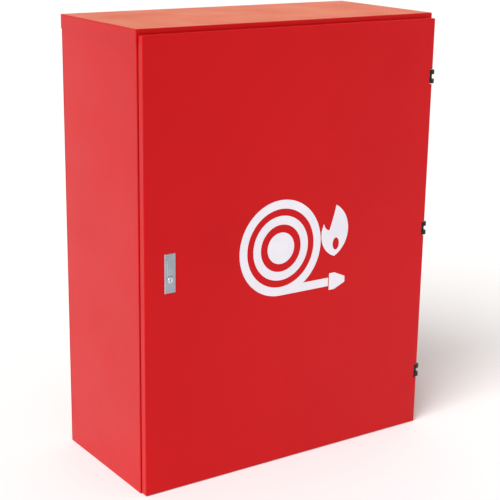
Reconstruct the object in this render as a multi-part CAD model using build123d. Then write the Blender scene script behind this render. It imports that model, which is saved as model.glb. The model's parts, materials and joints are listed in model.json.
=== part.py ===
"""Sheet-steel cabinet with a fixed hose reel, its water inlet and a press-lock door.

Millimetres. X runs to the right, the door faces -Y, the wall is at +Y and Z points up. The origin is on
the floor, under the middle of the casing.
"""

from build123d import *
import math
import os

# Overall sizes
cabinet_height = 1000.0
casing_width = 768.0
casing_depth = 330.0
sheet = 1.5  # steel sheet of the casing and the door
fold_radius = 2.2  # outside radius of a folded edge
touch_gap = 0.3  # between parallel pieces that are not fixed to each other

# Casing
flange_width = 25.0  # front and rear flanges of the side panels
flange_return = 15.0  # return lip behind the front flange
cap_skirt = 31.0
cap_return = 12.0
base_upstand = 26.0
back_flange = 18.0

# Door
door_inset_left = 2.0
door_inset_right = 4.0
door_floor_gap = 1.0
door_top_drop = 11.0  # how far the cap shows above the door
door_gap = 2.0  # between the cap's front and the back of the door
door_depth = 16.5
door_lip = 22.0
seal_inset = 9.0  # from the door's edge to the seal
seal_width = 10.0

# Hinges
hinge_end_inset = 133.0  # from the door's end to the middle of the outer hinges
hinge_axis_reach = 1.5  # the axis is this far outside the door's edge
hinge_axis_depth = 9.3  # and this far behind the door's front
lug_radius = 9.0
lug_height = 10.0
knuckle_radius = 4.0
knuckle_height = 10.4
hinge_slack = 0.3  # between a lug and the knuckle, along the pin
notch_clearance = 1.6
pin_radius = 2.0
pin_clearance = 0.05
bracket_thickness = 4.5
bracket_height = 62.0
bracket_length = 30.0
foot_thickness = 3.0
foot_height = 56.0
foot_width = 30.0

# Door stiffeners
stiffener_inset = 156.0  # from the door's side edge to the middle of a stiffener
stiffener_depth = 11.0
stiffener_sheet = 1.0
stiffener_end_inset = 60.0

# Lock
lock_from_left = 61.0
lock_above_bottom = 494.0
bezel_width = 26.8
bezel_height = 86.0
bezel_proud = 1.6
bezel_bevel = 1.3
lock_body_width = 21.4
lock_body_height = 79.0
lock_body_depth = 17.3
lock_wall = 1.5
lock_face = 4.6
cutout_clearance = 0.3
flap_width = 14.0
flap_low = -6.0  # bottom and top of the flap, from the middle of the lock
flap_high = 27.5
flap_top_gap = 1.0
pocket_below_flap = 16.0  # the room inside the lock goes on this far below the flap
flap_thickness = 2.2
flap_recess = 0.8
flap_clearance = 0.3
flap_swing_clearance = 1.1  # under the flap, for its swing
flap_axis_height = 25.5
flap_axis_depth = 7.4  # behind the bezel's face
flap_pin_radius = 1.25
flap_angle = 12.0
finger_height = 3.0
finger_middle = 3.0
finger_width = 2.0
finger_gap = 0.6
cylinder_height = -14.5
cylinder_radius = 6.0
cylinder_proud = 0.6
plug_radius = 4.2
cam_length = 16.0
cam_width = 8.0
cam_thickness = 2.0

# Latch bolt and its case
bolt_height = 16.0
bolt_thickness = 8.0
bolt_behind_flange = 1.5  # from the back of the front flange to the bolt
bolt_overlap = 4.0  # how far the shut bolt reaches past the flange's return lip
bolt_release = 0.8  # how far the drawn bolt clears the strike
bolt_length = 64.0
bolt_clearance = 0.3
slot_clearance = 0.8
strike_thickness = 1.2
strike_height = 50.0
case_wall = 1.5
case_left = 17.0  # from the lock's middle
case_right = 38.0
ear_height = 25.7

# Reel
disc_sheet = 1.5
disc_curl = 4.5
reel_top_clearance = 108.5
reel_bottom_clearance = 350.0  # room under the discs for the valve and the hose guide
reel_front_clearance = 50.0
reel_rear_clearance = 66.0
barrel_radius = 110.0
barrel_sheet = 1.5
rib_rise = 4.0
rib_inset = 0.28  # of the winding depth, from each edge of a disc's raised ring
rib_slope = 5.0
spindle_radius = 16.0
spindle_bore = 9.0
spindle_step = 3.0  # the threaded end is this much less in radius
spindle_collar = 4.0
hub_gap = 23.5  # from the front disc to the spindle's end
port_offset = 30.0  # from the spindle's end to its ports
running_clearance = 0.05
bush_radius = 24.0
bush_flange = 32.0
hub_radius = 26.0
hub_flange = 48.0
hub_length = 78.0
tie_rod_circle = 90.0
tie_rod_radius = 3.0
tie_rod_count = 6
hub_bolt_circle = 38.0
hub_bolt_count = 4
tail_angle = 45.0
tail_radius = 9.5
tail_bore = 6.5
tail_reach = 36.0  # past the barrel

# Reel bracket and inlet
bracket_plate = 4.0
bracket_behind_disc = 10.5  # from the rear disc to the bracket
reel_bracket_width = 124.0
reel_bracket_height = 200.0
reel_bracket_foot = 33.0
pipe_radius = 13.45  # three-quarter inch pipe, outside
pipe_bore = 10.8
pipe_from_wall = 24.5  # pipe axis to the inside of the back panel
elbow_radius = 17.5
valve_bottom = 150.0
valve_length = 80.0
valve_port_radius = 12.1  # female thread, three-quarter inch
valve_port_depth = 15.0
ball_radius = 13.0
ball_clearance = 0.3
ball_bore = 9.0
stem_radius = 5.0
lever_length = 120.0
lever_width = 16.0
lever_thickness = 3.0
grommet_bore = 15.5
grommet_radius = 18.0
grommet_flange = 3.5

# Fasteners
bracket_screw = 2.5
small_screw = 1.5
small_head = 2.8
screw_clearance = 0.25
nut_thickness = 4.0
nut_flats = 8.0
thread_past_nut = 1.5
bolt_flats = 13.0
bolt_head = 5.4
washer_thickness = 1.6
stud_radius = 2.5
mounting_bolt = 4.0
wall_hole_radius = 5.0
wall_hole_side_inset = 84.0
wall_hole_low = 100.0
wall_hole_below_top = 98.5

# Guide
guide_x = -150.0
guide_ring_radius = 40.0
guide_ring_section = 12.0
guide_ring_edge = 1.8
guide_bar = 4.0
guide_below_disc = 8.0
guide_foot = 70.0

# Sign
sign_thickness = 0.3
sign_height = 248.0

# Places that follow from the sizes above
half_width = casing_width / 2
front = -casing_depth / 2
back = casing_depth / 2
back_inside = back - sheet
panel_top = cabinet_height - sheet
cap_front = front - touch_gap - sheet
cap_bottom = cabinet_height - cap_skirt
door_left = -half_width + door_inset_left
door_right = half_width - door_inset_right
door_middle = (door_left + door_right) / 2
door_bottom = door_floor_gap
door_top = cabinet_height - door_top_drop
door_back = cap_front - door_gap
door_front = door_back - door_depth
skin_back = door_front + sheet
hinge_x = door_right + hinge_axis_reach
hinge_y = door_front + hinge_axis_depth
hinge_heights = {
    "top": door_top - hinge_end_inset,
    "middle": (door_top + door_bottom) / 2,
    "bottom": door_bottom + hinge_end_inset,
}
knuckle_gap = knuckle_height + 2 * hinge_slack
hinge_half_height = knuckle_gap / 2 + lug_height

lock_x = door_left + lock_from_left
lock_z = door_bottom + lock_above_bottom
bezel_front = door_front - bezel_proud
lock_body_back = door_front + lock_body_depth
flap_axis_y = bezel_front + flap_axis_depth
flap_axis_z = lock_z + flap_axis_height
bolt_front = front + sheet + bolt_behind_flange
bolt_back = bolt_front + bolt_thickness
finger_z = lock_z + finger_middle
finger_tip = bolt_front - finger_gap
finger_drop = flap_axis_z - finger_z
finger_reach = finger_tip - flap_axis_y
finger_travel = (
    finger_drop * math.sin(math.radians(flap_angle))
    - finger_reach * (1 - math.cos(math.radians(flap_angle)))
)
lip_outer = -half_width + flange_width - sheet
strike_face = lip_outer + sheet + strike_thickness
bolt_tip = lip_outer - bolt_overlap
bolt_travel = strike_face + bolt_release - bolt_tip
bolt_tail = bolt_tip + bolt_length
case_front = bolt_front - bolt_clearance - case_wall
case_back = bolt_back + bolt_clearance

disc_radius = (panel_top - reel_top_clearance - reel_bottom_clearance) / 2
reel_z = reel_bottom_clearance + disc_radius
front_disc_y = front + reel_front_clearance
rear_disc_y = back_inside - reel_rear_clearance
pipe_y = back_inside - pipe_from_wall
web_front = rear_disc_y + bracket_behind_disc
web_back = web_front + bracket_plate
valve_top = valve_bottom + valve_length
valve_middle = (valve_bottom + valve_top) / 2
wall_hole_high = panel_top - wall_hole_below_top


def block(x, y, z):
    """A box between the low and high X, Y and Z given."""
    size = (x[1] - x[0], y[1] - y[0], z[1] - z[0])
    middle = ((x[0] + x[1]) / 2, (y[0] + y[1]) / 2, (z[0] + z[1]) / 2)
    return Pos(*middle) * Box(*size)


def rod_x(radius, x, y, z):
    """A round bar along X, from x[0] to x[1]."""
    return Pos((x[0] + x[1]) / 2, y, z) * Rot(0, 90, 0) * Cylinder(radius, x[1] - x[0])


def rod_y(radius, x, y, z):
    """A round bar along Y, from y[0] to y[1]."""
    return Pos(x, (y[0] + y[1]) / 2, z) * Rot(90, 0, 0) * Cylinder(radius, y[1] - y[0])


def rod_z(radius, x, y, z):
    """A round bar along Z, from z[0] to z[1]."""
    return Pos(x, y, (z[0] + z[1]) / 2) * Cylinder(radius, z[1] - z[0])


def hexagon(across_flats, length):
    """A hexagonal bar along Z, centred on the origin."""
    return extrude(RegularPolygon(across_flats / 2, 6, major_radius=False), length / 2, both=True)


def hex_x(across_flats, x, y, z):
    return Pos((x[0] + x[1]) / 2, y, z) * Rot(0, 90, 0) * hexagon(across_flats, x[1] - x[0])


def hex_y(across_flats, x, y, z):
    return Pos(x, (y[0] + y[1]) / 2, z) * Rot(90, 0, 0) * hexagon(across_flats, y[1] - y[0])


def hex_z(across_flats, x, y, z):
    return Pos(x, y, (z[0] + z[1]) / 2) * hexagon(across_flats, z[1] - z[0])


def folded(points, thickness, bend, z):
    """A sheet folded along vertical lines; points is its middle line in plan."""
    path = FilletPolyline(*points, radius=bend)
    return Pos(0, 0, z[0]) * extrude(trace(path, thickness), z[1] - z[0])


def turned(outline):
    """A solid turned about the reel's axis from an outline of (radius, y) points."""
    profile = make_face(Polyline(*outline, close=True))
    return Pos(0, 0, reel_z) * revolve(profile, Axis.Y)


def coil(wire_radius, coil_radius, length, turns):
    """A coil spring standing on the origin along Z."""
    path = Helix(pitch=length / turns, height=length, radius=coil_radius)
    section = Plane(origin=path @ 0, z_dir=path % 0) * Circle(wire_radius)
    return sweep(section, path=path)


def on_circle(radius, count, start=0.0):
    """Points (x, z) around the reel's axis."""
    angles = [math.radians(start + 360.0 * step / count) for step in range(count)]
    return [(radius * math.cos(angle), reel_z + radius * math.sin(angle)) for angle in angles]


# Casing


def side_panel():
    """The left side panel; the right one is its mirror image."""
    z = (sheet, panel_top)
    wall = block((-half_width, -half_width + sheet), (front, back_inside), z)
    flange_x = (-half_width, -half_width + flange_width)
    front_flange = block(flange_x, (front, front + sheet), z)
    lip = block((lip_outer, lip_outer + sheet), (front, front + flange_return), z)
    rear_flange = block(flange_x, (back_inside - sheet, back_inside), z)
    panel = wall + front_flange + lip + rear_flange
    corners = panel.edges().filter_by(Axis.Z).filter_by(lambda edge: edge.center().X < -half_width + 0.1)
    return fillet(corners, fold_radius)


def left_side_panel():
    slot_y = (bolt_front - slot_clearance, bolt_back + slot_clearance)
    return side_panel() - block((lip_outer - 1, lip_outer + 2 * sheet), slot_y, bolt_slot_z())


def right_side_panel():
    panel = mirror(side_panel(), about=Plane.YZ)
    for x, y, z in bracket_screw_places():
        panel -= rod_x(bracket_screw + screw_clearance, (x - 2 * sheet, x + 1), y, z)
    return panel


def bolt_slot_z():
    """Low and high edge of the slot that the latch bolt enters."""
    middle = lock_z + finger_middle
    half = bolt_height / 2 + slot_clearance
    return (middle - half, middle + half)


def strike_plate():
    z = (finger_z - strike_height / 2, finger_z + strike_height / 2)
    x = (lip_outer + sheet, strike_face)
    plate = block(x, (front + sheet, front + flange_return), z)
    slot_y = (bolt_front - slot_clearance, bolt_back + slot_clearance)
    return plate - block((x[0] - 1, x[1] + 1), slot_y, bolt_slot_z())


def back_panel():
    panel = block((-half_width, half_width), (back_inside, back), (0, panel_top))
    flange_x = half_width - flange_width - touch_gap
    flange_y = (back_inside - back_flange, back_inside)
    panel += block((-flange_x, flange_x), flange_y, (panel_top - sheet, panel_top))
    for x, z in wall_hole_places():
        panel -= rod_y(wall_hole_radius, x, (back_inside - 1, back + 1), z)
    for x, z in reel_bolt_places() + guide_bolt_places():
        panel -= rod_y(mounting_bolt, x, (back_inside - 1, back + 1), z)
    return panel


def wall_hole_places():
    half = half_width - wall_hole_side_inset
    return [(x, z) for x in (-half, half) for z in (wall_hole_low, wall_hole_high)]


def base_panel():
    plate = block((-half_width, half_width), (front, back_inside), (0, sheet))
    inner = half_width - sheet
    between_flanges = half_width - flange_width - touch_gap
    rim = (sheet, base_upstand - 5)
    plate += block((-between_flanges, between_flanges), (front, front + sheet), (0, base_upstand))
    plate += block((-between_flanges, between_flanges), (back_inside - sheet, back_inside), rim)
    side_y = (front + flange_return + 1, back_inside - sheet - touch_gap)
    plate += block((-inner, -inner + sheet), side_y, rim)
    plate += block((inner - sheet, inner), side_y, rim)
    return plate - rod_z(grommet_radius, 0, pipe_y, (-1, sheet + 1))


def pipe_grommet():
    tube = rod_z(grommet_radius, 0, pipe_y, (0.3, 8.0))
    flange = rod_z(grommet_radius + grommet_flange, 0, pipe_y, (sheet, sheet + 3.5))
    return tube + flange - rod_z(grommet_bore, 0, pipe_y, (-1, 9.0))


def top_cap():
    outside_x = half_width + touch_gap + sheet
    inside_x = half_width + touch_gap
    shell = block((-outside_x, outside_x), (cap_front, back), (cap_bottom, cabinet_height))
    top_edges = shell.edges().group_by(Axis.Z)[-1].sort_by(Axis.Y)[:-1]
    corner_edges = shell.edges().filter_by(Axis.Z).group_by(Axis.Y)[0]
    shell = fillet(top_edges + corner_edges, fold_radius)
    hollow_y = (front - touch_gap, back + 1)
    shell -= block((-inside_x, inside_x), hollow_y, (cap_bottom - 1, panel_top))
    return_x = half_width - flange_width - touch_gap
    return_y = (front - touch_gap, front - touch_gap + cap_return)
    shell += block((-return_x, return_x), return_y, (cap_bottom, cap_bottom + sheet))
    return shell


def frame_seal():
    """A foam strip round the door opening, thinner where it lies on the cap's skirt."""
    seal_front = door_back + touch_gap
    left = door_left + seal_inset
    right = door_right - seal_inset
    low = door_bottom + seal_inset
    high = door_top - seal_inset
    ring = block((left, right), (seal_front, front), (low, high))
    ring -= block(
        (left + seal_width, right - seal_width),
        (seal_front - 1, front + 1),
        (low + seal_width, high - seal_width),
    )
    skirt_room = block((left - 1, right + 1), (cap_front, front + 1), (cap_bottom - touch_gap, high + 1))
    return ring - skirt_room


# Hinges


def bracket_screw_places():
    """Middle of each casing-side hinge screw on the side panel's outer face."""
    y = front + 1 + bracket_length * 0.6
    return [
        (half_width, y, middle + side * bracket_height * 0.32)
        for middle in hinge_heights.values()
        for side in (-1, 1)
    ]


def hinge_bracket(middle):
    plate_x = (half_width, half_width + bracket_thickness)
    plate_z = (middle - bracket_height / 2, middle + bracket_height / 2)
    plate = block(plate_x, (front + 1, front + 1 + bracket_length), plate_z)
    plate = fillet(plate.edges().filter_by(Axis.X), 4.0)
    for side in (-1, 1):
        inner = middle + side * knuckle_gap / 2
        outer = middle + side * hinge_half_height
        lug_z = (min(inner, outer), max(inner, outer))
        lug = rod_z(lug_radius, hinge_x, hinge_y, lug_z)
        lug = chamfer(lug.edges(), 0.8)
        arm = block(plate_x, (hinge_y, front + 6), lug_z)
        plate += lug + arm
        plate -= rod_z(pin_radius, hinge_x, hinge_y, (lug_z[0] - 1, lug_z[1] + 1))
    for x, y, z in bracket_screw_places():
        plate -= rod_x(bracket_screw + screw_clearance, (x - 1, x + bracket_thickness + 1), y, z)
        plate -= countersink(x, y, z)
    return plate


def countersink(x, y, z):
    """The conical seat of a hinge screw's head in the bracket."""
    outside = x + bracket_thickness
    cone = Cone(bracket_screw, 2 * bracket_screw, bracket_screw)
    return Pos(outside - bracket_screw / 2, y, z) * Rot(0, 90, 0) * cone


def hinge_bracket_fixings():
    """Countersunk screws through the bracket and the side panel, with their nuts."""
    pieces = []
    for x, y, z in bracket_screw_places():
        nut_x = (x - sheet - nut_thickness, x - sheet)
        screw = rod_x(bracket_screw, (nut_x[0] - thread_past_nut, x + bracket_thickness - 0.1), y, z)
        screw += countersink(x, y, z)
        socket = hex_x(3.0, (x + bracket_thickness - 1.6, x + bracket_thickness + 1), y, z)
        nut = hex_x(nut_flats, nut_x, y, z) - rod_x(bracket_screw, (nut_x[0] - 1, nut_x[1] + 1), y, z)
        pieces += [screw - socket, nut]
    return Compound(pieces)


def hinge_pins():
    half = hinge_half_height - 0.2
    return Compound([
        chamfer(rod_z(pin_radius, hinge_x, hinge_y, (z - half, z + half)).edges(), 0.3)
        for z in hinge_heights.values()
    ])


def stud_places():
    """Studs on the back of the door's skin that hold the knuckles."""
    x = foot_edge() - foot_width * 0.7
    return [
        (x, middle + side * foot_height * 0.33)
        for middle in hinge_heights.values()
        for side in (-1, 1)
    ]


def foot_edge():
    """Right edge of a knuckle's foot, clear of the lugs at every angle."""
    return hinge_x - lug_radius - 3.5


def hinge_knuckle(middle):
    half = knuckle_height / 2
    barrel = rod_z(knuckle_radius, hinge_x, hinge_y, (middle - half, middle + half))
    arm_z = (middle - half, middle + half)
    arm = block((foot_edge() - 14, hinge_x), (hinge_y - 3, hinge_y + 3), arm_z)
    neck = block((foot_edge() - 14, foot_edge()), (skin_back, hinge_y + 3), arm_z)
    foot_z = (middle - foot_height / 2, middle + foot_height / 2)
    foot_x = (foot_edge() - foot_width, foot_edge())
    foot = block(foot_x, (skin_back, skin_back + foot_thickness), foot_z)
    foot = fillet(foot.edges().filter_by(Axis.Y), 4.0)
    knuckle = barrel + arm + neck + foot
    knuckle -= rod_z(pin_radius + pin_clearance, hinge_x, hinge_y, (middle - half - 1, middle + half + 1))
    for x, z in stud_places():
        knuckle -= rod_y(stud_radius + screw_clearance, x, (skin_back - 1, skin_back + foot_thickness + 1), z)
    return knuckle


def hinge_knuckle_fixings():
    """Studs on the door's skin with their nuts."""
    pieces = []
    for x, z in stud_places():
        nut_y = (skin_back + foot_thickness, skin_back + foot_thickness + nut_thickness)
        stud = rod_y(stud_radius, x, (skin_back, nut_y[1] + thread_past_nut), z)
        nut = hex_y(nut_flats, x, nut_y, z) - rod_y(stud_radius, x, (nut_y[0] - 1, nut_y[1] + 1), z)
        pieces += [stud, nut]
    return Compound(pieces)


# Door


def door_panel():
    tray = block((door_left, door_right), (door_front, door_back), (door_bottom, door_top))
    rim = tray.faces().sort_by(Axis.Y)[0].edges() + tray.edges().filter_by(Axis.Y)
    tray = fillet(rim, fold_radius)
    inside = (door_left + sheet, door_right - sheet)
    inside_z = (door_bottom + sheet, door_top - sheet)
    tray -= block(inside, (skin_back, door_back - sheet), inside_z)
    opening = (door_left + door_lip, door_right - door_lip)
    opening_z = (door_bottom + door_lip, door_top - door_lip)
    tray -= block(opening, (door_back - 2 * sheet, door_back + 1), opening_z)
    notch_left = hinge_x - lug_radius - notch_clearance
    notch_half = hinge_half_height + notch_clearance
    for middle in hinge_heights.values():
        notch_z = (middle - notch_half, middle + notch_half)
        tray -= block((notch_left, door_right + 1), (door_front - 1, door_back + 1), notch_z)
    half_x = lock_body_width / 2 + cutout_clearance
    half_z = lock_body_height / 2 + cutout_clearance
    cutout_z = (lock_z - half_z, lock_z + half_z)
    return tray - block((lock_x - half_x, lock_x + half_x), (door_front - 1, skin_back + 1), cutout_z)


def door_stiffener(middle):
    """A hat-shaped channel welded upright on the back of the door's skin."""
    foot_y = skin_back + stiffener_sheet / 2
    crown_y = foot_y + stiffener_depth
    outline = [(-32, foot_y), (-20, foot_y), (-16, crown_y), (16, crown_y), (20, foot_y), (32, foot_y)]
    points = [(middle + x, y) for x, y in outline]
    z = (door_bottom + stiffener_end_inset, door_top - stiffener_end_inset)
    return folded(points, stiffener_sheet, 2.0, z)


def door_sign():
    """A plain white hose-reel symbol: reel rings, a hose end with its nozzle, and a flame."""
    size = sign_height
    reel = (-0.15 * size, 0.04 * size)
    outer = 0.44 * size
    band = 0.08 * size
    rings = Pos(*reel) * (Circle(outer) - Circle(outer - band))
    rings += Pos(*reel) * (Circle(outer - 1.8 * band) - Circle(outer - 2.8 * band))
    rings += Pos(*reel) * Circle(outer - 3.7 * band)
    hose_y = reel[1] - outer
    hose = Pos(0.12 * size, hose_y + band / 2) * Rectangle(0.54 * size, band)
    nozzle_start = 0.38 * size
    nozzle_points = [
        (nozzle_start + 0.02 * size, hose_y + 1.5 * band),
        (nozzle_start + 0.02 * size, hose_y - 0.5 * band),
        (nozzle_start + 0.08 * size, hose_y - 0.5 * band),
        (nozzle_start + 0.20 * size, hose_y + 0.15 * band),
        (nozzle_start + 0.20 * size, hose_y + 0.85 * band),
        (nozzle_start + 0.08 * size, hose_y + 1.5 * band),
    ]
    nozzle = make_face(Polyline(*nozzle_points, close=True))
    flame = Pos(0.45 * size, 0.12 * size) * flame_outline(0.48 * size)
    sign = rings + hose + nozzle + flame
    plane = Plane(
        origin=(door_middle, door_front, (door_top + door_bottom) / 2 + 3),
        x_dir=(1, 0, 0),
        z_dir=(0, -1, 0),
    )
    return extrude(plane * sign, sign_thickness)


def flame_outline(height):
    """A flame with one side tongue, standing on its own middle."""
    tip = (0.02 * height, 0.5 * height)
    tongue = (-0.26 * height, 0.16 * height)
    dip = (-0.13 * height, 0.02 * height)
    foot = (0.0, -0.5 * height)
    right = ThreePointArc(foot, (0.29 * height, -0.16 * height), tip)
    left = ThreePointArc(tip, (-0.06 * height, 0.22 * height), dip)
    notch = ThreePointArc(dip, (-0.21 * height, 0.06 * height), tongue)
    base = ThreePointArc(tongue, (-0.27 * height, -0.27 * height), foot)
    outline = make_face([right, left, notch, base])
    return outline - Pos(0.03 * height, -0.26 * height) * Ellipse(0.075 * height, 0.12 * height)


# Lock


def lock_housing():
    bezel_x = (lock_x - bezel_width / 2, lock_x + bezel_width / 2)
    bezel_z = (lock_z - bezel_height / 2, lock_z + bezel_height / 2)
    bezel = block(bezel_x, (bezel_front, door_front), bezel_z)
    bezel = fillet(bezel.edges().filter_by(Axis.Y), 1.5)
    bezel = chamfer(bezel.faces().sort_by(Axis.Y)[0].edges(), bezel_bevel)
    body_x = (lock_x - lock_body_width / 2, lock_x + lock_body_width / 2)
    body_z = (lock_z - lock_body_height / 2, lock_z + lock_body_height / 2)
    body = bezel + block(body_x, (door_front, lock_body_back), body_z)
    inside_x = (body_x[0] + lock_wall, body_x[1] - lock_wall)
    inside_top = lock_z + flap_high + flap_top_gap + flap_clearance
    inside_z = (lock_z + flap_low - pocket_below_flap, inside_top)
    body -= block(inside_x, (bezel_front + lock_face, lock_body_back + 1), inside_z)
    window_x = (lock_x - flap_width / 2 - flap_clearance, lock_x + flap_width / 2 + flap_clearance)
    window_z = (lock_z + flap_low - flap_swing_clearance, lock_z + flap_high + flap_top_gap)
    body -= block(window_x, (bezel_front - 1, bezel_front + lock_face + 1), window_z)
    cylinder_z = lock_z + cylinder_height
    body -= rod_y(cylinder_radius, lock_x, (bezel_front - 1, lock_body_back + 1), cylinder_z)
    body -= rod_x(flap_pin_radius, (inside_x[0] - 1, inside_x[1] + 1), flap_axis_y, flap_axis_z)
    for x, z in case_screw_places():
        body -= rod_y(small_screw, x, (lock_body_back - 8, lock_body_back + 1), z)
    for side in (-1, 1):
        face = lock_z + side * lock_body_height / 2
        z = (min(face, face - side * 6), max(face, face - side * 6))
        body -= rod_z(small_screw, lock_x, clamp_screw_y(), (z[0] - 0.01, z[1] + 0.01))
    return body


def case_screw_places():
    z = lock_z + lock_body_height / 2 - 4.5
    return [(lock_x - 6, z), (lock_x + 6, z)]


def clamp_screw_y():
    return door_front + lock_body_depth * 0.55


def lock_clamp():
    """A frame behind the skin with a tab at each end that is screwed to the lock's body."""
    hole_x = lock_body_width / 2 + cutout_clearance
    hole_z = lock_body_height / 2 + cutout_clearance
    plate_y = (skin_back, skin_back + sheet)
    outer_z = hole_z + 10
    clamp = block((lock_x - hole_x - 8, lock_x + hole_x + 8), plate_y, (lock_z - outer_z, lock_z + outer_z))
    clamp -= block((lock_x - hole_x, lock_x + hole_x), (plate_y[0] - 1, plate_y[1] + 1),
                   (lock_z - hole_z, lock_z + hole_z))
    for side in (-1, 1):
        tab = (lock_z + side * hole_z, lock_z + side * (hole_z + sheet))
        tab_y = (plate_y[0], clamp_screw_y() + 4)
        clamp += block((lock_x - 8, lock_x + 8), tab_y, (min(tab), max(tab)))
        clamp -= rod_z(small_screw + screw_clearance, lock_x, clamp_screw_y(), (min(tab) - 1, max(tab) + 1))
    return clamp


def lock_screws():
    """Two screws through the clamp's tabs and two through the latch case's ear."""
    pieces = []
    tab_face = lock_body_height / 2 + cutout_clearance + sheet
    for side in (-1, 1):
        shank = (lock_z + side * (lock_body_height / 2 - 5.5), lock_z + side * tab_face)
        head = (lock_z + side * tab_face, lock_z + side * (tab_face + 2))
        screw = rod_z(small_screw, lock_x, clamp_screw_y(), (min(shank), max(shank)))
        pieces.append(screw + rod_z(small_head, lock_x, clamp_screw_y(), (min(head), max(head))))
    ear_back = lock_body_back + 2 * case_wall
    for x, z in case_screw_places():
        screw = rod_y(small_screw, x, (lock_body_back - 7, ear_back), z)
        pieces.append(screw + rod_y(small_head, x, (ear_back, ear_back + 2), z))
    return Compound(pieces)


def case_inside():
    """The room in the latch case, along X and Z."""
    half = bolt_height / 2 + bolt_clearance
    x = (lock_x - case_left + case_wall, lock_x + case_right - case_wall)
    return x, (finger_z - half, finger_z + half)


def latch_case():
    inside_x, inside_z = case_inside()
    outside_x = (inside_x[0] - case_wall, inside_x[1] + case_wall)
    outside_z = (inside_z[0] - case_wall, inside_z[1] + case_wall)
    case = block(outside_x, (lock_body_back, case_back), outside_z)
    ear_z = (outside_z[1], outside_z[1] + ear_height)
    ear_x = (lock_x - lock_body_width / 2, lock_x + lock_body_width / 2)
    case += block(ear_x, (lock_body_back, lock_body_back + 2 * case_wall), ear_z)
    case -= block(inside_x, (bolt_front - bolt_clearance, case_back + 1), inside_z)
    window_x = (finger_x()[0] - 1.2, finger_x()[1] + 1.2)
    window_z = (finger_z - 3, finger_z + 9)
    case -= block(window_x, (lock_body_back - 1, bolt_front), window_z)
    wall_x = (outside_x[0] - 1, inside_x[0] + 1)
    case -= block(wall_x, (bolt_front - bolt_clearance, case_back + 1), inside_z)
    for x, z in case_screw_places():
        ear_y = (lock_body_back - 1, lock_body_back + 3 * case_wall)
        case -= rod_y(small_screw + screw_clearance, x, ear_y, z)
    return case


def latch_case_cover():
    inside_x, inside_z = case_inside()
    x = (inside_x[0] - case_wall, inside_x[1] + case_wall)
    z = (inside_z[0] - case_wall, inside_z[1] + case_wall)
    plate = block(x, (case_back, case_back + case_wall), z)
    return fillet(plate.edges().filter_by(Axis.Y), 1.5)


def finger_x():
    """Low and high X of the flap's finger; its high side drives the bolt."""
    return (lock_x + 4.0 - finger_width, lock_x + 4.0)


def lock_paddle():
    """The flap, its two ears round the pin and the finger that draws the bolt."""
    front_y = bezel_front + flap_recess
    rear_y = front_y + flap_thickness
    flap_x = (lock_x - flap_width / 2, lock_x + flap_width / 2)
    flap = block(flap_x, (front_y, rear_y), (lock_z + flap_low, lock_z + flap_high))
    flap = fillet(flap.edges().filter_by(Axis.Y), 0.8)
    dish = Pos(lock_x, front_y, lock_z + flap_low + 8) * Rot(90, 0, 0) * Cylinder(4.5, 1.0)
    flap -= dish
    for side in (-1, 1):
        ear = (lock_x + side * 4.5, lock_x + side * 6.5)
        ear_x = (min(ear), max(ear))
        flap += block(ear_x, (rear_y, flap_axis_y), (flap_axis_z - 2.4, flap_axis_z + 2.4))
        flap += rod_x(2.4, ear_x, flap_axis_y, flap_axis_z)
    finger_low = finger_z - finger_height / 2
    flap += block(finger_x(), (rear_y, finger_tip), (finger_low, finger_low + finger_height))
    bore_x = (flap_x[0] - 1, flap_x[1] + 1)
    return flap - rod_x(flap_pin_radius + pin_clearance, bore_x, flap_axis_y, flap_axis_z)


def paddle_pin():
    half = lock_body_width / 2 - lock_wall
    return rod_x(flap_pin_radius, (lock_x - half - 0.9, lock_x + half + 0.9), flap_axis_y, flap_axis_z)


def paddle_spring():
    """A torsion spring round the flap's pin, between the ears."""
    spring = coil(0.3, 1.9, 7.0, 7)
    return Pos(lock_x - 3.5, flap_axis_y, flap_axis_z) * Rot(0, 90, 0) * spring


def latch_bolt():
    z = (finger_z - bolt_height / 2, finger_z + bolt_height / 2)
    bolt = block((bolt_tip, bolt_tail), (bolt_front, bolt_back), z)
    bevel = [(bolt_tip - 1, bolt_back + 1), (bolt_tip - 1, bolt_front + 2), (bolt_tip, bolt_front + 2),
             (bolt_tip + 6, bolt_back), (bolt_tip + 6, bolt_back + 1)]
    bolt -= Pos(0, 0, z[0] - 1) * extrude(make_face(Polyline(*bevel, close=True)), bolt_height + 2)
    right = finger_x()[1]
    depth = bolt_front + finger_travel
    ramp = [(right + finger_gap / 2, bolt_front - 1), (right + finger_gap / 2, bolt_front),
            (right - bolt_travel, depth), (right - bolt_travel - finger_width - 1, depth),
            (right - bolt_travel - finger_width - 1, bolt_front - 1)]
    bolt -= Pos(0, 0, z[0] - 1) * extrude(make_face(Polyline(*ramp, close=True)), bolt_height + 2)
    return bolt - rod_x(spring_bore(), spring_pocket(), (bolt_front + bolt_back) / 2, finger_z)


def spring_bore():
    return bolt_thickness / 2 - 0.8


def spring_pocket():
    return (bolt_tail - 12, bolt_tail + 1)


def bolt_spring():
    """The bolt's return spring, drawn as short as it is when the bolt is fully back."""
    low = spring_pocket()[0] + bolt_travel + 0.8
    high = case_inside()[0][1] - 0.5
    spring = coil(0.4, spring_bore() - 0.9, high - low, 9)
    return Pos(low, (bolt_front + bolt_back) / 2, finger_z) * Rot(0, 90, 0) * spring


def cylinder_barrel():
    z = lock_z + cylinder_height
    y = (bezel_front - cylinder_proud, lock_body_back + 1.0)
    barrel = rod_y(cylinder_radius, lock_x, y, z)
    barrel = chamfer(barrel.faces().sort_by(Axis.Y)[0].edges(), 0.5)
    return barrel - rod_y(plug_radius + running_clearance, lock_x, (y[0] - 1, y[1] + 1), z)


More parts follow.
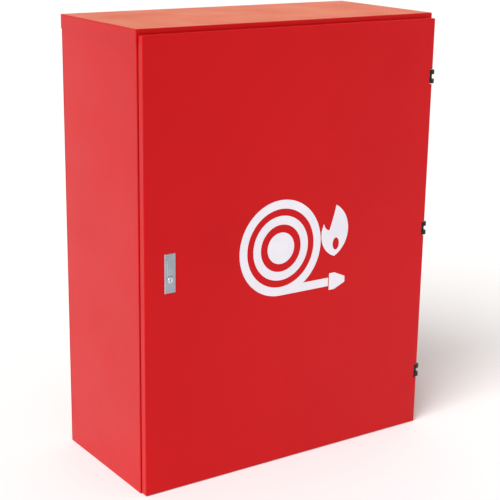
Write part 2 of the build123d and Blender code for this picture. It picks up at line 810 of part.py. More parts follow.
def key_plug():
    z = lock_z + cylinder_height
    y = (bezel_front - cylinder_proud, lock_body_back + 1.3)
    plug = rod_y(plug_radius, lock_x, y, z)
    keyway = block((lock_x - 0.6, lock_x + 0.6), (y[0] - 1, y[0] + 12), (z - 2.9, z + 2.9))
    keyway += rod_y(1.1, lock_x, (y[0] - 1, y[0] + 12), z + 1.9)
    return plug - keyway


def lock_cam():
    """A flat tongue on the back of the key plug, hanging down."""
    z = lock_z + cylinder_height
    y = (lock_body_back + 1.3, lock_body_back + 1.3 + cam_thickness)
    end = z - cam_length + cam_width / 2
    cam = block((lock_x - cam_width / 2, lock_x + cam_width / 2), y, (end, z))
    cam += rod_y(cam_width / 2, lock_x, y, end)
    cam += rod_y(cam_width / 2, lock_x, y, z)
    return cam - rod_y(1.6, lock_x, (y[0] - 1, y[1] + 1), z)


def cam_screw():
    z = lock_z + cylinder_height
    cam_back = lock_body_back + 1.3 + cam_thickness
    screw = rod_y(1.6, lock_x, (lock_body_back + 1.3, cam_back), z)
    return screw + rod_y(3.0, lock_x, (cam_back, cam_back + 1.8), z)


# Reel


def reel_bolt_places():
    x = reel_bracket_width / 2 + reel_bracket_foot * 0.55
    half = reel_bracket_height / 2 - 25
    return [(side * x, reel_z + end * half) for side in (-1, 1) for end in (-1, 1)]


def reel_bracket():
    """A hat-shaped plate that holds the spindle clear of the back panel."""
    foot_y = back_inside - bracket_plate / 2
    web_y = web_front + bracket_plate / 2
    leg = reel_bracket_width / 2 - bracket_plate / 2
    toe = leg + reel_bracket_foot
    points = [(-toe, foot_y), (-leg, foot_y), (-leg, web_y), (leg, web_y), (leg, foot_y), (toe, foot_y)]
    half = reel_bracket_height / 2
    plate = folded(points, bracket_plate, 6.0, (reel_z - half, reel_z + half))
    plate -= rod_y(tail_thread() + 0.2, 0, (web_front - 1, web_back + 1), reel_z)
    for x, z in reel_bolt_places():
        plate -= rod_y(mounting_bolt, x, (back_inside - bracket_plate - 1, back_inside + 1), z)
    return plate


def tail_thread():
    """Radius of the spindle's threaded rear end."""
    return spindle_radius - spindle_step


def guide_bolt_places():
    z = guide_z()
    return [(guide_x, z - guide_foot * 0.32), (guide_x, z + guide_foot * 0.32)]


def guide_z():
    return reel_z - disc_radius - guide_below_disc - guide_foot / 2


def mounting_bolts():
    """Bolts that hold the reel bracket and the guide; they go on into the wall or into nuts."""
    pieces = []
    seats = [(x, z, back_inside - bracket_plate) for x, z in reel_bolt_places()]
    seats += [(x, z, back_inside - bracket_plate) for x, z in guide_bolt_places()]
    for x, z, seat in seats:
        bolt = rod_y(mounting_bolt, x, (seat, back), z)
        washer = seat - washer_thickness
        bolt += rod_y(2 * mounting_bolt, x, (washer, seat), z)
        bolt += hex_y(bolt_flats, x, (washer - bolt_head, washer), z)
        pieces.append(bolt)
    return Compound(pieces)


def spindle_end():
    """Front end of the spindle, inside the hub's blind bore."""
    return front_disc_y + disc_sheet + hub_gap


def port_y():
    return spindle_end() + port_offset


def spindle():
    """The fixed hollow shaft that carries the reel and brings the water to the hub."""
    bar = rod_y(spindle_radius, 0, (spindle_end(), web_front), reel_z)
    bar = chamfer(bar.faces().sort_by(Axis.Y)[0].edges(), 1.0)
    bar += rod_y(spindle_radius + 6, 0, (web_front - spindle_collar, web_front), reel_z)
    bar += rod_y(tail_thread(), 0, (web_front, pipe_y + 6), reel_z)
    bar -= rod_y(spindle_bore, 0, (port_y() - 8, pipe_y + 7), reel_z)
    port = (-spindle_radius - 1, spindle_radius + 1)
    bar -= rod_x(4.0, port, port_y(), reel_z)
    bar -= rod_z(4.0, 0, port_y(), (reel_z + port[0], reel_z + port[1]))
    groove_y = (rear_bush_y()[0] - 3.0, rear_bush_y()[0] - 1.0)
    groove = rod_y(spindle_radius + 1, 0, groove_y, reel_z) - rod_y(spindle_radius - 1.2, 0, groove_y, reel_z)
    return bar - groove


def spindle_nut():
    nut = hex_y(36.0, 0, (web_back, web_back + 7), reel_z)
    return nut - rod_y(tail_thread(), 0, (web_back - 1, web_back + 8), reel_z)


def thrust_washer():
    y = (rear_bush_y()[1] + 0.1, web_front - spindle_collar - 0.1)
    washer = rod_y(spindle_radius + 8, 0, y, reel_z)
    return washer - rod_y(spindle_radius + 0.2, 0, (y[0] - 1, y[1] + 1), reel_z)


def spindle_circlip():
    """The ring that keeps the reel from sliding off the spindle."""
    y = (rear_bush_y()[0] - 2.8, rear_bush_y()[0] - 1.2)
    ring = rod_y(spindle_radius + 4, 0, y, reel_z)
    ring -= rod_y(spindle_radius - 1, 0, (y[0] - 1, y[1] + 1), reel_z)
    gap = block((-4, 4), (y[0] - 1, y[1] + 1), (reel_z - spindle_radius - 5, reel_z))
    return ring - gap


def rear_bush_y():
    """Front and rear faces of the rear bush."""
    return (rear_disc_y - 10.0, rear_disc_y + disc_sheet + 2.0)


def rear_bush():
    y = rear_bush_y()
    bush = rod_y(bush_radius, 0, y, reel_z)
    bush += rod_y(bush_flange, 0, (rear_disc_y + disc_sheet, y[1]), reel_z)
    return bush - rod_y(spindle_radius + running_clearance, 0, (y[0] - 1, y[1] + 1), reel_z)


def disc(face, side, centre_radius):
    """A pressed disc with a raised ring and a curled rim; side is the way its outside faces."""
    middle = face + side * disc_sheet / 2
    rise = middle + side * rib_rise
    inset = rib_inset * (disc_radius - barrel_radius)
    rim = disc_radius - disc_curl - disc_sheet / 2
    flat = Polyline(
        (centre_radius, middle),
        (barrel_radius + inset, middle),
        (barrel_radius + inset + rib_slope, rise),
        (disc_radius - inset - rib_slope, rise),
        (disc_radius - inset, middle),
        (rim, middle),
    )
    curl = JernArc(start=(rim, middle), tangent=(1, 0), radius=disc_curl, arc_size=side * 290)
    profile = trace(flat, disc_sheet) + trace(curl, disc_sheet)
    return Pos(0, 0, reel_z) * revolve(profile, Axis.Y)


def front_disc():
    plate = disc(front_disc_y + disc_sheet, -1, 0.0)
    for x, z in on_circle(tie_rod_circle, tie_rod_count):
        plate -= rod_y(tie_rod_radius + 0.2, x, (front_disc_y - 1, front_disc_y + 3), z)
    for x, z in on_circle(hub_bolt_circle, hub_bolt_count, tail_angle):
        plate -= rod_y(3.2, x, (front_disc_y - 1, front_disc_y + 3), z)
    return plate


def rear_disc():
    plate = disc(rear_disc_y, 1, bush_radius)
    for x, z in on_circle(tie_rod_circle, tie_rod_count):
        plate -= rod_y(tie_rod_radius + 0.2, x, (rear_disc_y - 1, rear_disc_y + 3), z)
    return plate


def drum_barrel():
    y = (front_disc_y + disc_sheet, rear_disc_y)
    tube = rod_y(barrel_radius, 0, y, reel_z)
    tube -= rod_y(barrel_radius - barrel_sheet, 0, (y[0] - 1, y[1] + 1), reel_z)
    return tube - tail_bar(tail_radius + 3.0, 60.0, 130.0)


def tail_bar(radius, start, end):
    """A round bar along the hose tail's axis, between two distances from the reel's axis."""
    bar = Pos((start + end) / 2, 0, 0) * Rot(0, 90, 0) * Cylinder(radius, end - start)
    return Pos(0, port_y(), reel_z) * Rot(0, -tail_angle, 0) * bar


def disc_tie_rods():
    """Rods with nuts at both ends that clamp the discs on the barrel."""
    pieces = []
    ends = (front_disc_y, rear_disc_y + disc_sheet)
    for x, z in on_circle(tie_rod_circle, tie_rod_count):
        rod = rod_y(tie_rod_radius, x, (ends[0] - 5.5, ends[1] + 5.0), z)
        rod += hex_y(10.0, x, (ends[0] - 4.5, ends[0]), z)
        rod += hex_y(10.0, x, (ends[1], ends[1] + 4.0), z)
        pieces.append(rod)
    return Compound(pieces)


def swivel_hub():
    """The turning hub: it takes water from the spindle's ports and feeds the hose tail."""
    face = front_disc_y + disc_sheet
    hub = rod_y(hub_radius, 0, (face, face + hub_length), reel_z)
    hub += rod_y(hub_flange, 0, (face, face + 6), reel_z)
    hub += tail_bar(tail_radius + 5.0, 15.0, hub_radius + 12)
    bore = spindle_radius + running_clearance
    hub -= rod_y(bore, 0, (spindle_end() - 2, face + hub_length + 1), reel_z)
    chamber = (port_y() - 8, port_y() + 8)
    hub -= rod_y(spindle_radius + 4, 0, chamber, reel_z)
    for seal_y in seal_places():
        hub -= rod_y(spindle_radius + 3.2, 0, (seal_y - 2.0, seal_y + 2.0), reel_z)
    hub -= tail_bar(tail_bore, 10.0, hub_radius + 20)
    hub -= tail_bar(tail_radius, hub_radius, hub_radius + 20)
    for x, z in on_circle(hub_bolt_circle, hub_bolt_count, tail_angle):
        hub -= rod_y(3.0, x, (face - 1, face + 7), z)
    return hub


def seal_places():
    return (port_y() - 15, port_y() + 15)


def swivel_seals():
    """Two rings of round rubber cord in the hub's grooves."""
    rings = []
    for seal_y in seal_places():
        ring = Rot(90, 0, 0) * Torus(spindle_radius + 1.7, 1.35)
        rings.append(Pos(0, seal_y, reel_z) * ring)
    return Compound(rings)


def hub_bolts():
    pieces = []
    face = front_disc_y
    for x, z in on_circle(hub_bolt_circle, hub_bolt_count, tail_angle):
        bolt = rod_y(3.0, x, (face, face + disc_sheet + 5.5), z)
        pieces.append(bolt + hex_y(10.0, x, (face - 4.5, face), z))
    return Compound(pieces)


def hose_tail():
    """The tail that the hose is clamped on, through the barrel's wall, with three barbs."""
    end = barrel_radius + tail_reach
    tail = tail_bar(tail_radius, hub_radius, end)
    for barb in range(3):
        start = end - 10.0 * (barb + 1)
        cone = Cone(tail_radius + 0.9, tail_radius - 0.2, 8.0)
        tail += Pos(0, port_y(), reel_z) * Rot(0, 90 - tail_angle, 0) * Pos(0, 0, start + 5) * cone
    return tail - tail_bar(tail_bore, hub_radius - 1, end + 1)


def hub_cap():
    """A shallow plastic cap over the hub bolts."""
    outline = [
        (0, -26), (34, -24), (50, -18), (56, -8), (56, 0), (53.5, 0), (53.5, -7.5), (48.5, -15.8),
        (33.5, -21.5), (0, -23.5),
    ]
    return turned([(radius, front_disc_y + y) for radius, y in outline])


# Water inlet


def inlet_elbow():
    socket_y = web_back + 8.0
    top = Pos(0, pipe_y, reel_z) * Sphere(elbow_radius + 2.5)
    leg_z = (reel_z - 52, reel_z)
    elbow = top + rod_z(elbow_radius, 0, pipe_y, leg_z)
    elbow += rod_z(elbow_radius + 1.5, 0, pipe_y, (leg_z[0], leg_z[0] + 12))
    elbow += rod_y(elbow_radius + 1.5, 0, (socket_y, pipe_y), reel_z)
    elbow -= rod_y(tail_thread(), 0, (socket_y - 1, pipe_y + 6), reel_z)
    elbow -= rod_z(pipe_bore, 0, pipe_y, (leg_z[0] - 1, reel_z))
    return elbow - rod_z(pipe_radius, 0, pipe_y, (leg_z[0] - 1, leg_z[0] + valve_port_depth))


def riser_pipe():
    z = (valve_top - valve_port_depth, reel_z - 52 + valve_port_depth)
    return rod_z(pipe_radius, 0, pipe_y, z) - rod_z(pipe_bore, 0, pipe_y, (z[0] - 1, z[1] + 1))


def stem_front():
    return pipe_y - 36.0


def valve_body():
    """A ball valve's body: threaded below for the supply, socketed above for the riser."""
    body = rod_z(16.5, 0, pipe_y, (valve_bottom + 10, valve_top - 10))
    body += hex_z(35.0, 0, pipe_y, (valve_bottom, valve_bottom + 18))
    body += hex_z(35.0, 0, pipe_y, (valve_top - 18, valve_top))
    body += Pos(0, pipe_y, valve_middle) * Sphere(ball_radius + 7)
    body += rod_y(9.0, 0, (stem_front() + 8, pipe_y), valve_middle)
    body -= Pos(0, pipe_y, valve_middle) * Sphere(ball_radius + ball_clearance)
    body -= rod_z(ball_bore, 0, pipe_y, (valve_bottom, valve_top))
    body -= rod_z(valve_port_radius, 0, pipe_y, (valve_bottom - 1, valve_bottom + valve_port_depth))
    body -= rod_z(pipe_radius, 0, pipe_y, (valve_top - valve_port_depth, valve_top + 1))
    stem_bore = stem_radius + running_clearance
    return body - rod_y(stem_bore, 0, (stem_front(), pipe_y), valve_middle)


def ball_flat():
    """The Y of the flat on the ball that the stem bears on."""
    return pipe_y - ball_radius + 1.0


def valve_ball():
    """The ball, shut: its bore lies across the pipe."""
    ball = Pos(0, pipe_y, valve_middle) * Sphere(ball_radius)
    ball -= rod_x(ball_bore, (-ball_radius - 1, ball_radius + 1), pipe_y, valve_middle)
    flat_y = (pipe_y - ball_radius - 1, ball_flat())
    span = (valve_middle - ball_radius, valve_middle + ball_radius)
    return ball - block((-ball_radius, ball_radius), flat_y, span)


def valve_stem():
    return rod_y(stem_radius, 0, (stem_front() - 4.0, ball_flat()), valve_middle)


def valve_lever():
    """A pressed lever, shut when it lies across the pipe."""
    y = (stem_front(), stem_front() + lever_thickness)
    arm = block((0, lever_length - lever_width / 2), y,
                (valve_middle - lever_width / 2, valve_middle + lever_width / 2))
    arm += rod_y(lever_width / 2, lever_length - lever_width / 2, y, valve_middle)
    arm += rod_y(11.0, 0, y, valve_middle)
    arm -= rod_y(4.0, lever_length - lever_width / 2, (y[0] - 1, y[1] + 1), valve_middle)
    return arm - rod_y(stem_radius, 0, (y[0] - 1, y[1] + 1), valve_middle)


def lever_nut():
    y = (stem_front() - 5.0, stem_front())
    nut = hex_y(13.0, 0, y, valve_middle)
    return nut - rod_y(stem_radius, 0, (y[0] + 1, y[1] + 1), valve_middle)


# Hose guide


def hose_guide():
    """A bar from the back panel with a ring at its end that the hose would run through."""
    z = guide_z()
    plate_y = (back_inside - bracket_plate, back_inside)
    foot = block((guide_x - 20, guide_x + 20), plate_y, (z - guide_foot / 2, z + guide_foot / 2))
    foot = fillet(foot.edges().filter_by(Axis.Y), 5.0)
    for x, hole_z in guide_bolt_places():
        foot -= rod_y(mounting_bolt, x, (plate_y[0] - 1, plate_y[1] + 1), hole_z)
    ring_y = front_disc_y + 10.0
    ring_x = guide_x + guide_ring_radius
    half = guide_ring_section / 2
    ring_depth = (ring_y - half, ring_y + half)
    ring = rod_y(guide_ring_radius + half, ring_x, ring_depth, z)
    ring -= rod_y(guide_ring_radius - half, ring_x, (ring_depth[0] - 1, ring_depth[1] + 1), z)
    ring = fillet(ring.edges().filter_by(GeomType.CIRCLE), guide_ring_edge)
    bar = rod_y(guide_bar, guide_x, (ring_y, plate_y[0]), z)
    return foot + bar + ring


nodes = {
    "left_side_panel": left_side_panel(),
    "right_side_panel": right_side_panel(),
    "back_panel": back_panel(),
    "base_panel": base_panel(),
    "top_cap": top_cap(),
    "frame_seal": frame_seal(),
    "strike_plate": strike_plate(),
    "pipe_grommet": pipe_grommet(),
    "hinge_bracket_fixings": hinge_bracket_fixings(),
    "hinge_pins": hinge_pins(),
    "door_panel": door_panel(),
    "door_stiffener_left": door_stiffener(door_left + stiffener_inset),
    "door_stiffener_right": door_stiffener(door_right - stiffener_inset),
    "door_sign": door_sign(),
    "hinge_knuckle_fixings": hinge_knuckle_fixings(),
    "lock_housing": lock_housing(),
    "lock_clamp": lock_clamp(),
    "lock_screws": lock_screws(),
    "latch_case": latch_case(),
    "latch_case_cover": latch_case_cover(),
    "lock_paddle": lock_paddle(),
    "paddle_pin": paddle_pin(),
    "paddle_spring": paddle_spring(),
    "latch_bolt": latch_bolt(),
    "bolt_spring": bolt_spring(),
    "cylinder_barrel": cylinder_barrel(),
    "key_plug": key_plug(),
    "lock_cam": lock_cam(),
    "cam_screw": cam_screw(),
    "reel_bracket": reel_bracket(),
    "mounting_bolts": mounting_bolts(),
    "spindle": spindle(),
    "spindle_nut": spindle_nut(),
    "thrust_washer": thrust_washer(),
    "spindle_circlip": spindle_circlip(),
    "rear_bush": rear_bush(),
    "front_disc": front_disc(),
    "rear_disc": rear_disc(),
    "drum_barrel": drum_barrel(),
    "disc_tie_rods": disc_tie_rods(),
    "swivel_hub": swivel_hub(),
    "swivel_seals": swivel_seals(),
    "hub_bolts": hub_bolts(),
    "hose_tail": hose_tail(),
    "hub_cap": hub_cap(),
    "inlet_elbow": inlet_elbow(),
    "riser_pipe": riser_pipe(),
    "valve_body": valve_body(),
    "valve_ball": valve_ball(),
    "valve_stem": valve_stem(),
    "valve_lever": valve_lever(),
    "lever_nut": lever_nut(),
    "hose_guide": hose_guide(),
}
for place, height in hinge_heights.items():
    nodes[f"hinge_bracket_{place}"] = hinge_bracket(height)
    nodes[f"hinge_knuckle_{place}"] = hinge_knuckle(height)

os.makedirs("parts", exist_ok=True)
for name, solid in nodes.items():
    export_step(solid, f"parts/{name}.step")
print("bolt travel", round(bolt_travel, 3), "finger travel", round(finger_travel, 3))
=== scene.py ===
"""Looks of a fire hose reel cabinet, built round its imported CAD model. Metres, +Z up, door towards -Y."""

import json
import math

import bmesh
import bpy
from mathutils import Matrix, Vector

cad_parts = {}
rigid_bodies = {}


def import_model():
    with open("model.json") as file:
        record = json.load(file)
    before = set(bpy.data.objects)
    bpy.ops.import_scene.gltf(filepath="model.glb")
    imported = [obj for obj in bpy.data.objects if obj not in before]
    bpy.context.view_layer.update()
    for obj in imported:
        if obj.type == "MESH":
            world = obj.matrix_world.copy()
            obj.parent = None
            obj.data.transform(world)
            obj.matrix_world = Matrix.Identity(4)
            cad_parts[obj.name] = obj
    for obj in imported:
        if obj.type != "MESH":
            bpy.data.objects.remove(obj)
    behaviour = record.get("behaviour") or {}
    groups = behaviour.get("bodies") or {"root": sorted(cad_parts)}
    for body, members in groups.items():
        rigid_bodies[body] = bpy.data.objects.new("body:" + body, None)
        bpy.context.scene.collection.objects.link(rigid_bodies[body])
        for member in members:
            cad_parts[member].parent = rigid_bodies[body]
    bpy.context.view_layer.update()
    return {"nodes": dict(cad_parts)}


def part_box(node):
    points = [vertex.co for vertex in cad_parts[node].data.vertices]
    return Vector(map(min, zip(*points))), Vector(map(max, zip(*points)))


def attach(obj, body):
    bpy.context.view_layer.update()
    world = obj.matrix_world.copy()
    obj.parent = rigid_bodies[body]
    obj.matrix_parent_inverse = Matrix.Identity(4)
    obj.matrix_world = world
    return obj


for leftover in list(bpy.data.objects):
    bpy.data.objects.remove(leftover)

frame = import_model()
nodes = frame["nodes"]
scene = bpy.context.scene


# ---------------------------------------------------------------- shader helpers

class Finish:
    """One procedural material. Patterns are laid out in the object's own frame, in metres."""

    def __init__(self, name, roughness=0.5, metallic=0.0):
        self.material = bpy.data.materials.new(name)
        self.material.use_nodes = True
        self.tree = self.material.node_tree
        self.surface = self.tree.nodes["Principled BSDF"]
        self.place = self.add("ShaderNodeTexCoord").outputs["Object"]
        self.set(Roughness=roughness, Metallic=metallic)
        self.normal = None

    def set(self, **values):
        for name, value in values.items():
            self.surface.inputs[name.replace("_", " ")].default_value = value

    def add(self, kind, **settings):
        node = self.tree.nodes.new(kind)
        for name, value in settings.items():
            setattr(node, name, value)
        return node

    def feed(self, socket, value):
        if isinstance(value, bpy.types.NodeSocket):
            self.tree.links.new(value, socket)
        else:
            socket.default_value = value

    def stretched(self, scale):
        node = self.add("ShaderNodeMapping")
        self.feed(node.inputs["Vector"], self.place)
        node.inputs["Scale"].default_value = scale
        return node.outputs["Vector"]

    def noise(self, scale, detail=2.0, stretch=None, rough=0.5):
        node = self.add("ShaderNodeTexNoise")
        self.feed(node.inputs["Vector"], self.stretched(stretch) if stretch else self.place)
        node.inputs["Scale"].default_value = scale
        node.inputs["Detail"].default_value = detail
        node.inputs["Roughness"].default_value = rough
        return node.outputs[0]

    def cells(self, scale, output="Distance"):
        node = self.add("ShaderNodeTexVoronoi")
        self.feed(node.inputs["Vector"], self.place)
        node.inputs["Scale"].default_value = scale
        return node.outputs[output]

    def remap(self, value, source, target):
        node = self.add("ShaderNodeMapRange")
        self.feed(node.inputs["Value"], value)
        node.inputs["From Min"].default_value, node.inputs["From Max"].default_value = source
        node.inputs["To Min"].default_value, node.inputs["To Max"].default_value = target
        return node.outputs["Result"]

    def math(self, operation, a, b):
        node = self.add("ShaderNodeMath", operation=operation)
        self.feed(node.inputs[0], a)
        self.feed(node.inputs[1], b)
        return node.outputs[0]

    def blend(self, share, first, second):
        node = self.add("ShaderNodeMix", data_type="RGBA")
        self.feed(node.inputs[0], share)
        self.feed(node.inputs[6], first)
        self.feed(node.inputs[7], second)
        return node.outputs[2]

    def colour(self, value):
        self.feed(self.surface.inputs["Base Color"], value)

    def rough(self, value):
        self.feed(self.surface.inputs["Roughness"], value)

    def bump(self, height, depth, strength=1.0):
        """Adds relief of that depth in metres on top of any relief already there."""
        node = self.add("ShaderNodeBump")
        self.feed(node.inputs["Height"], height)
        node.inputs["Distance"].default_value = depth
        node.inputs["Strength"].default_value = strength
        if self.normal:
            self.feed(node.inputs["Normal"], self.normal)
        self.normal = node.outputs["Normal"]
        self.feed(self.surface.inputs["Normal"], self.normal)

    def edges(self, radius, sharp=0.86, flat=0.995):
        """1 on outside and inside corners within that radius, 0 on flat faces."""
        rounded = self.add("ShaderNodeBevel", samples=4)
        rounded.inputs["Radius"].default_value = radius
        true = self.add("ShaderNodeNewGeometry").outputs["Normal"]
        turn = self.add("ShaderNodeVectorMath", operation="DOT_PRODUCT")
        self.feed(turn.inputs[0], rounded.outputs["Normal"])
        self.feed(turn.inputs[1], true)
        return self.remap(turn.outputs["Value"], (sharp, flat), (1.0, 0.0))


def rgb(r, g, b):
    return (r, g, b, 1.0)


full_range = (0.0, 1.0)
middle_of_noise = (0.3, 0.7)
paint_edge_width, paint_edge_share = 0.0011, 0.55
metal_edge_width, metal_edge_share = 0.0016, 0.9


def paint(name, body, shade, edge, roughness, grain=700.0, depth=0.00006, glint=(1.0, 0.22, 0.28)):
    """Stoved paint or powder coat: broad tone drift, orange peel, and paler along sharp edges, partly a
    thinner coat and partly a painted highlight.
    """
    f = Finish(name)
    f.set(IOR=1.5, Specular_Tint=rgb(*glint))
    drift = f.remap(f.noise(3.5, 3.0), (0.35, 0.65), full_range)
    tone = f.blend(drift, body, shade)
    patchy = f.remap(f.noise(160.0, 3.0), (0.35, 0.6), (0.25, 1.0))
    # Paler sharp edges, broken up in patches: partly a thinner coat, partly a painted highlight.
    wear_and_highlight = f.math("MULTIPLY", f.edges(paint_edge_width), patchy)
    f.colour(f.blend(f.math("MULTIPLY", wear_and_highlight, paint_edge_share), tone, edge))
    f.rough(f.remap(f.noise(9.0, 4.0), middle_of_noise, (roughness - 0.04, roughness + 0.05)))
    orange_peel = f.noise(grain, 2.0)
    f.bump(orange_peel, depth, 0.5)
    sheet_wave = f.noise(45.0, 1.0)
    f.bump(sheet_wave, 0.00025, 0.12)
    return f


def metal(name, light, dark, low, high, drift=14.0, grain=None, depth=0.00002, wear_and_highlight=None):
    """Bare or plated metal: tone and gloss drift together; grain is the stretch of its drawing lines."""
    f = Finish(name, metallic=1.0)
    patch = f.remap(f.noise(drift, 5.0, rough=0.6), (0.32, 0.68), full_range)
    tone = f.blend(patch, light, dark)
    # Sharp edges paled towards the given colour: a painted highlight on the bevels.
    if wear_and_highlight:
        tone = f.blend(f.math("MULTIPLY", f.edges(metal_edge_width), metal_edge_share), tone, wear_and_highlight)
    f.colour(tone)
    fine = f.noise(420.0, 3.0, grain)
    both = f.math("ADD", f.math("MULTIPLY", patch, 0.5), f.math("MULTIPLY", fine, 0.5))
    f.rough(f.remap(both, (0.25, 0.75), (low, high)))
    f.bump(fine, depth, 0.6)
    return f


def moulded(name, first, second, patches, detail, streaks, low, high):
    """Rubber, plastic or film: tone drifts in patches, and gloss drifts on its own between low and high."""
    f = Finish(name)
    f.colour(f.blend(f.remap(f.noise(patches, detail), middle_of_noise, full_range), first, second))
    f.rough(f.remap(f.noise(streaks, 3.0), middle_of_noise, (low, high)))
    return f


# ---------------------------------------------------------------- finishes, one per slot

finishes = {}
finishes["cabinet_red"] = paint(
    "cabinet_red", rgb(0.575, 0.0030, 0.0034), rgb(0.545, 0.0025, 0.0030), rgb(0.80, 0.10, 0.085), 0.36)
finishes["reel_red"] = paint(
    "reel_red", rgb(0.50, 0.0060, 0.0085), rgb(0.44, 0.0045, 0.0070), rgb(0.62, 0.09, 0.07), 0.24,
    grain=380.0, depth=0.00004, glint=(1.0, 0.4, 0.4))
finishes["hinge_black"] = paint(
    "hinge_black", rgb(0.007, 0.007, 0.008), rgb(0.012, 0.012, 0.013), rgb(0.11, 0.11, 0.115), 0.42,
    grain=900.0, glint=(1.0, 1.0, 1.0))
finishes["hinge_black"].set(Specular_IOR_Level=0.3)
finishes["lever_red"] = paint(
    "lever_red", rgb(0.56, 0.009, 0.011), rgb(0.50, 0.008, 0.010), rgb(0.72, 0.10, 0.09), 0.30,
    grain=260.0, depth=0.00010, glint=(1.0, 0.35, 0.38))

finishes["zinc_plated_steel"] = metal(
    "zinc_plated_steel", rgb(0.66, 0.68, 0.71), rgb(0.50, 0.53, 0.60), 0.24, 0.42, drift=60.0)
finishes["bright_steel"] = metal(
    "bright_steel", rgb(0.74, 0.74, 0.73), rgb(0.64, 0.64, 0.64), 0.16, 0.30, grain=(1.0, 9.0, 1.0))
finishes["spring_steel"] = metal(
    "spring_steel", rgb(0.40, 0.40, 0.41), rgb(0.27, 0.26, 0.25), 0.26, 0.40, drift=220.0)
# The lock's pale bevel edges are a painted highlight.
finishes["lock_satin_zinc"] = metal(
    "lock_satin_zinc", rgb(0.365, 0.405, 0.455), rgb(0.300, 0.338, 0.390), 0.30, 0.42, drift=40.0,
    grain=(6.0, 6.0, 0.12), depth=0.00003, wear_and_highlight=rgb(0.86, 0.84, 0.86))
finishes["cylinder_chrome"] = metal(
    "cylinder_chrome", rgb(0.66, 0.67, 0.69), rgb(0.58, 0.59, 0.62), 0.10, 0.20, drift=90.0, depth=0.000008)
finishes["ball_chrome"] = metal(
    "ball_chrome", rgb(0.86, 0.86, 0.86), rgb(0.80, 0.80, 0.81), 0.05, 0.12, drift=70.0, depth=0.000005)
finishes["brass"] = metal(
    "brass", rgb(0.72, 0.50, 0.20), rgb(0.50, 0.32, 0.12), 0.22, 0.44, drift=35.0, grain=(1.0, 7.0, 1.0))

galvanised = Finish("galvanised_pipe", metallic=1.0)
leaf = galvanised.add("ShaderNodeSeparateColor")
galvanised.feed(leaf.inputs[0], galvanised.cells(140.0, output="Color"))
galvanised.colour(galvanised.blend(leaf.outputs[0], rgb(0.60, 0.62, 0.64), rgb(0.40, 0.42, 0.45)))
galvanised.rough(galvanised.remap(leaf.outputs[1], full_range, (0.32, 0.52)))
galvanised.bump(galvanised.noise(90.0, 4.0), 0.00012, 0.5)
finishes["galvanised_pipe"] = galvanised

foam = Finish("seal_foam", roughness=0.95)
pores = foam.cells(1100.0)
painted_pore_shade = foam.remap(pores, (0.1, 0.6), full_range)
# Darker in the pits of the pores: painted shade.
foam.colour(foam.blend(painted_pore_shade, rgb(0.010, 0.010, 0.011), rgb(0.045, 0.045, 0.047)))
foam.set(Sheen_Weight=0.25, Sheen_Roughness=0.6)
foam.bump(pores, 0.0005, 0.8)
finishes["seal_foam"] = foam

rubber = moulded(
    "rubber_black", rgb(0.012, 0.012, 0.012), rgb(0.030, 0.029, 0.028), 60.0, 4.0, 30.0, 0.48, 0.68)
rubber.bump(rubber.noise(800.0, 2.0), 0.00006, 0.6)
finishes["rubber_black"] = rubber

plastic = moulded(
    "cap_black", rgb(0.014, 0.014, 0.015), rgb(0.024, 0.024, 0.025), 25.0, 3.0, 40.0, 0.34, 0.48)
plastic.bump(plastic.cells(1500.0), 0.00006, 0.6)
finishes["cap_black"] = plastic

nylon = moulded("nylon_white", rgb(0.74, 0.72, 0.66), rgb(0.66, 0.64, 0.57), 50.0, 3.0, 90.0, 0.38, 0.52)
nylon.set(Subsurface_Weight=0.15, Subsurface_Scale=0.002)
nylon.bump(nylon.noise(500.0, 2.0), 0.00004, 0.5)
finishes["nylon_white"] = nylon

vinyl = moulded("sign_white", rgb(0.86, 0.84, 0.90), rgb(0.80, 0.78, 0.85), 18.0, 4.0, 30.0, 0.36, 0.48)
vinyl.bump(vinyl.noise(900.0, 2.0), 0.00003, 0.4)
finishes["sign_white"] = vinyl

for node in nodes.values():
    for held in node.material_slots:
        slot = held.material.name.split(".")[0]
        held.material = finishes[slot].material


# ---------------------------------------------------------------- welds, built as meshes

def place_mesh(name, verts, faces, body, slot):
    mesh = bpy.data.meshes.new(name)
    mesh.from_pydata(verts, [], faces)
    mesh.validate()
    mesh.shade_smooth()
    mesh.materials.append(finishes[slot].material)
    piece = bpy.data.objects.new(name, mesh)
    scene.collection.objects.link(piece)
    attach(piece, body)


def weld_bead(name, centre, radius, throat=0.0021, ripples=16, ripple=0.16, unevenness=0.05):
    """A rippled fillet weld on the cabinet, round a bar that runs along Y."""
    verts, faces = [], []
    around, across = ripples * 6, 10
    for i in range(around):
        turn = 2.0 * math.pi * i / around
        swell = 1.0 + ripple * abs(math.sin(turn * ripples / 2.0)) + unevenness * math.sin(turn * 3.0)
        for j in range(across):
            lean = 2.0 * math.pi * j / across
            out = radius + throat * swell * math.cos(lean)
            verts.append((centre[0] + out * math.cos(turn), centre[1] + throat * swell * math.sin(lean),
                          centre[2] + out * math.sin(turn)))
            after, over = (i + 1) % around, (j + 1) % across
            faces.append((i * across + j, i * across + over, after * across + over, after * across + j))
    place_mesh(name, verts, faces, "cabinet", "cabinet_red")


def spot_welds(name, places, radius=0.0034, steps=20):
    """Shallow round spot-weld marks on door faces that look along +Y: a sunken middle in a low rim."""
    profile = ((0.0, 0.00010), (0.45, 0.00012), (0.66, 0.00034), (0.84, 0.00036), (1.0, -0.00005))
    verts, faces = [], []
    for x, y, z in places:
        first = len(verts)
        verts.append((x, y + profile[0][1], z))
        for share, rise in profile[1:]:
            for i in range(steps):
                turn = 2.0 * math.pi * i / steps
                out = radius * share
                verts.append((x + out * math.cos(turn), y + rise, z + out * math.sin(turn)))
        for i in range(steps):
            after = (i + 1) % steps
            faces.append((first, first + 1 + after, first + 1 + i))
            for ring in range(len(profile) - 2):
                inner = first + 1 + ring * steps
                outer = inner + steps
                faces.append((inner + i, inner + after, outer + after, outer + i))
    place_mesh(name, verts, faces, "door", "cabinet_red")


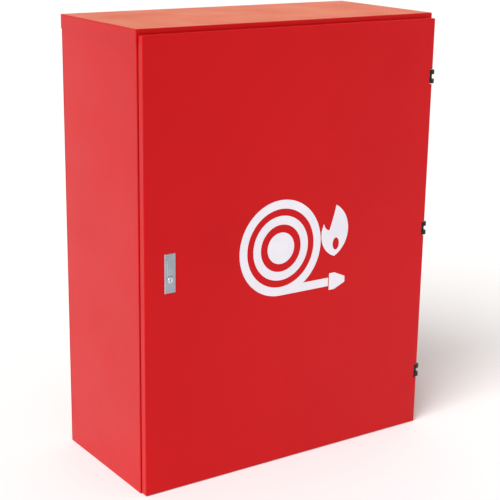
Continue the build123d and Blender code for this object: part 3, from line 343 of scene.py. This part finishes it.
guide_low, guide_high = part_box("hose_guide")
guide_bar_radius, guide_plate, guide_ring = 0.004, 0.004, 0.012
bar_from_guide_side = 0.020
bead_stand_off, bead_overlap = 0.0008, 0.0004
bar_x = guide_low.x + bar_from_guide_side
bar_z = (guide_low.z + guide_high.z) / 2.0
plate_face = guide_high.y - guide_plate
ring_back = guide_low.y + guide_ring
weld_bead("guide_foot_weld", (bar_x, plate_face - bead_overlap, bar_z), guide_bar_radius + bead_stand_off)
weld_bead("guide_ring_weld", (bar_x, ring_back + bead_overlap, bar_z), guide_bar_radius + bead_stand_off)

spot_pitch, end_margin, foot_inset, stiffener_sheet = 0.0775, 0.02, 0.006, 0.001
for hand in ("left", "right"):
    low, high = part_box(f"door_stiffener_{hand}")
    row = high.z - low.z - 2.0 * end_margin
    gaps = int(row / spot_pitch)
    spot_welds(f"stiffener_spot_welds_{hand}", [
        (x, low.y + stiffener_sheet, low.z + end_margin + row * i / gaps)
        for x in (low.x + foot_inset, high.x - foot_inset)
        for i in range(gaps + 1)])


# ---------------------------------------------------------------- floor, light and camera

floor_radius, floor_drop = 30.0, 0.0002
floor_mesh = bpy.data.meshes.new("floor")
rim = bmesh.new()
bmesh.ops.create_circle(rim, cap_ends=True, radius=floor_radius, segments=96)
rim.to_mesh(floor_mesh)
rim.free()
floor = bpy.data.objects.new("floor", floor_mesh)
scene.collection.objects.link(floor)
floor.location.z = -floor_drop
ground = Finish("studio_floor")
ground.colour(ground.blend(ground.noise(1.5, 3.0), rgb(0.97, 0.97, 0.97), rgb(0.945, 0.945, 0.95)))
ground.rough(ground.remap(ground.noise(6.0, 3.0), middle_of_noise, (0.75, 0.9)))
ground.set(Specular_IOR_Level=0.1)
floor_mesh.materials.append(ground.material)

world = bpy.data.worlds.new("studio")
world.use_nodes = True
scene.world = world
backdrop = world.node_tree.nodes["Background"]
backdrop.inputs["Color"].default_value = rgb(1.0, 0.99, 0.985)
backdrop.inputs["Strength"].default_value = 0.52


def light(name, kind, place, target, power, tint=(1.0, 1.0, 1.0), **settings):
    """A lamp that shines from place towards target and that the camera doesn't see."""
    lamp = bpy.data.lights.new(name, kind)
    lamp.energy = power
    lamp.color = tint
    for key, value in settings.items():
        setattr(lamp, key, value)
    holder = bpy.data.objects.new(name, lamp)
    scene.collection.objects.link(holder)
    holder.location = place
    holder.visible_camera = False
    away = Vector(place) - Vector(target)
    holder.rotation_mode = "QUATERNION"
    holder.rotation_quaternion = away.to_track_quat("Z", "Y")


light("wide_key", "SUN", (-6.35, -2.96, 7.6), (0.0, 0.0, 0.5), 2.60, angle=math.radians(40.0))
light("rear_softbox", "AREA", (2.8, 4.0, 2.6), (0.0, 0.0, 1.0), 5.0, (1.0, 0.66, 0.20),
      shape="RECTANGLE", size=4.0, size_y=1.8, spread=math.radians(75.0))

eye = (-1.6129, -2.3678, 1.2774)
lens_yaw, lens_pitch, lens_roll = 0.5998, -0.2803, 0.0156
lens_in_frame_widths = 2.5486
camera_data = bpy.data.cameras.new("camera")
camera_data.sensor_width = 36.0
camera_data.lens = lens_in_frame_widths * camera_data.sensor_width
camera_data.clip_start, camera_data.clip_end = 0.05, 100.0
camera = bpy.data.objects.new("camera", camera_data)
scene.collection.objects.link(camera)
level = math.cos(lens_pitch)
ahead = Vector((math.sin(lens_yaw) * level, math.cos(lens_yaw) * level, math.sin(lens_pitch)))
side = Vector((math.cos(lens_yaw), -math.sin(lens_yaw), 0.0))
up = side.cross(ahead)
rolled_side = side * math.cos(lens_roll) + up * math.sin(lens_roll)
rolled_up = up * math.cos(lens_roll) - side * math.sin(lens_roll)
pose = Matrix((rolled_side, rolled_up, -ahead)).transposed().to_4x4()
pose.translation = eye
camera.matrix_world = pose
scene.camera = camera

scene.view_settings.view_transform = "Standard"
